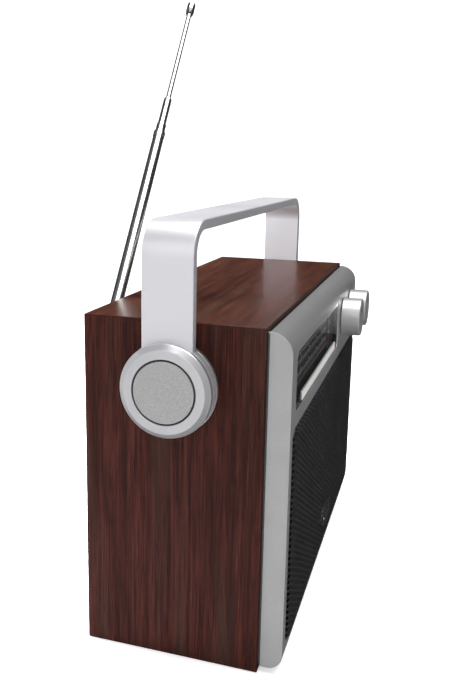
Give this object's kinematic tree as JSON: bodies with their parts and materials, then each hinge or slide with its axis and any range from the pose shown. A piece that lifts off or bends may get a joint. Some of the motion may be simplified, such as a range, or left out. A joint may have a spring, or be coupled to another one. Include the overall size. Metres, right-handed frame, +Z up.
{
  "type": "portable radio",
  "caption": "Portable radio in a wood-veneer case with a silver front, perforated speaker grille, dial window, two knobs, flat swinging carrying handle and telescopic aerial.",
  "frame": {"origin": "centre of the wooden case's underside, on the surface the radio stands on", "axes": "+X to the listener's right, -Y out of the dial and grille, +Z up"},
  "size_m": [0.2712, 0.1423, 0.3692],
  "materials": {
    "veneer_side": "dark red-brown wood veneer, satin, upright grain",
    "veneer_top": "dark red-brown wood veneer, glossy, grain along the case",
    "batten_wood": "plain sawn wood",
    "silver_plastic": "satin silver paint on moulded plastic",
    "knob_silver": "satin metallised",
    "bright_trim": "bright plated",
    "handle_metal": "satin anodised",
    "hub_silver": "satin silver paint, turned edge",
    "hub_textured": "fine sparkled texture",
    "grille_black": "satin black powder coat on perforated sheet",
    "gloss_black": "gloss black",
    "black_plastic": "fine spark texture",
    "clear_window": "clear acrylic, glossy",
    "dial_print": "printed scale on a dark plate",
    "pointer_red": "gloss red",
    "cord_fibre": "braided dial cord",
    "aerial_chrome": "polished chrome",
    "plain_steel": "zinc plated",
    "paper_cone": "pressed paper",
    "drum_plastic": "natural moulded plastic",
    "board_green": "solder-masked laminate",
    "component_dark": "moulded components",
    "ferrite_grey": "sintered ferrite",
    "copper_coil": "wound enamelled wire",
    "transformer_wrap": "taped winding and laminations"
  },
  "bodies": {
    "cabinet": {"top_board": "veneer_top", "bottom_board": "veneer_side", "left_side_board": "veneer_side", "right_side_board": "veneer_side", "rear_cleats": "batten_wood", "front_gasket": "gloss_black", "front_fascia": "silver_plastic", "speaker_grille": "grille_black", "grille_badge": "gloss_black", "dial_window": "clear_window", "dial_divider": "bright_trim", "dial_trim_bar": "bright_trim", "dial_scale": "dial_print", "dial_chassis": "black_plastic", "pointer_rail": "plain_steel", "dial_cord": "cord_fibre", "tuning_capacitor": "plain_steel", "volume_control": "plain_steel", "baffle_board": "black_plastic", "speaker_frame": "plain_steel", "speaker_cone": "paper_cone", "speaker_magnet": "ferrite_grey", "speaker_screws": "plain_steel", "main_board": "board_green", "board_components": "component_dark", "ferrite_rod": "ferrite_grey", "antenna_coil": "copper_coil", "ferrite_holders": "drum_plastic", "mains_transformer": "transformer_wrap", "rear_cover": "black_plastic", "rear_cover_screws": "plain_steel", "battery_tray": "black_plastic", "battery_contacts": "plain_steel", "power_inlet": "black_plastic", "earphone_jack": "black_plastic", "band_switch_body": "plain_steel", "pivot_bosses": "hub_silver", "pivot_bolts": "plain_steel", "pivot_washers": "plain_steel", "pivot_nuts": "plain_steel", "aerial_bracket": "black_plastic"},
    "tuning_control": {"tuning_knob": "knob_silver", "tuning_spindle": "plain_steel"},
    "drum": {"dial_drum": "drum_plastic"},
    "pointer": {"dial_pointer": "pointer_red"},
    "volume": {"volume_knob": "knob_silver", "volume_shaft": "plain_steel"},
    "handle": {"carrying_handle": "handle_metal", "pivot_caps": "hub_silver", "pivot_discs": "hub_textured"},
    "aerial_swivel": {"aerial_swivel_base": "aerial_chrome", "aerial_hinge_pin": "plain_steel"},
    "aerial_base": {"aerial_base_tube": "aerial_chrome"},
    "aerial_second": {"aerial_section_2": "aerial_chrome"},
    "aerial_third": {"aerial_section_3": "aerial_chrome"},
    "aerial_tip": {"aerial_tip_rod": "aerial_chrome", "aerial_tip_cap": "aerial_chrome"},
    "battery_lid": {"battery_door": "black_plastic"},
    "band_slider": {"band_switch_slider": "knob_silver"}
  },
  "joints": [
    {"name": "handle_swing", "type": "hinge", "parent": "cabinet", "child": "handle", "pos_m": [0, 0, 0.147], "axis": [1, 0, 0], "range_deg": [-20, 110]},
    {"name": "tuning_turn", "type": "hinge", "parent": "cabinet", "child": "tuning_control", "pos_m": [0.053, -0.06, 0.153], "axis": [0, 1, 0], "range_deg": [-1518.34, 200.53]},
    {"name": "drum_turn", "type": "hinge", "parent": "cabinet", "child": "drum", "pos_m": [0.068, -0.036, 0.092], "axis": [0, 1, 0], "range_deg": [-159.5, 21.5]},
    {"name": "pointer_slide", "type": "slide", "parent": "cabinet", "child": "pointer", "axis": [1, 0, 0], "range_m": [-0.1065, 0.0145]},
    {"name": "volume_turn", "type": "hinge", "parent": "cabinet", "child": "volume", "pos_m": [0.089, -0.06, 0.153], "axis": [0, 1, 0], "range_deg": [-150, 150]},
    {"name": "aerial_swivel_turn", "type": "hinge", "parent": "cabinet", "child": "aerial_swivel", "pos_m": [-0.084, 0.0508, 0.163], "axis": [0, 0, 1], "range_deg": [-5, 175]},
    {"name": "aerial_fold", "type": "hinge", "parent": "aerial_swivel", "child": "aerial_base", "pos_m": [-0.084, 0.0508, 0.163], "axis": [0.0872, -0.9962, 0], "range_deg": [-48, 42]},
    {"name": "section_2_slide", "type": "slide", "parent": "aerial_base", "child": "aerial_second", "axis": [0.6666, 0.0583, 0.7431], "range_m": [-0.007, 0.1]},
    {"name": "section_3_slide", "type": "slide", "parent": "aerial_second", "child": "aerial_third", "axis": [0.6666, 0.0583, 0.7431], "range_m": [-0.023, 0.07]},
    {"name": "tip_slide", "type": "slide", "parent": "aerial_third", "child": "aerial_tip", "axis": [0.6666, 0.0583, 0.7431], "range_m": [-0.0855, 0.006]},
    {"name": "battery_door_hinge", "type": "hinge", "parent": "cabinet", "child": "battery_lid", "pos_m": [-0.042, 0.0424, 0.0126], "axis": [-1, 0, 0], "range_deg": [0, 90]},
    {"name": "band_switch_slide", "type": "slide", "parent": "cabinet", "child": "band_slider", "axis": [1, 0, 0], "range_m": [-0.004, 0.004]}
  ],
  "couplings": [
    {"joint": "drum_turn", "follows": "tuning_turn", "ratio": 0.10472},
    {"joint": "pointer_slide", "follows": "tuning_turn", "m_per_rad": 0.004}
  ]
}
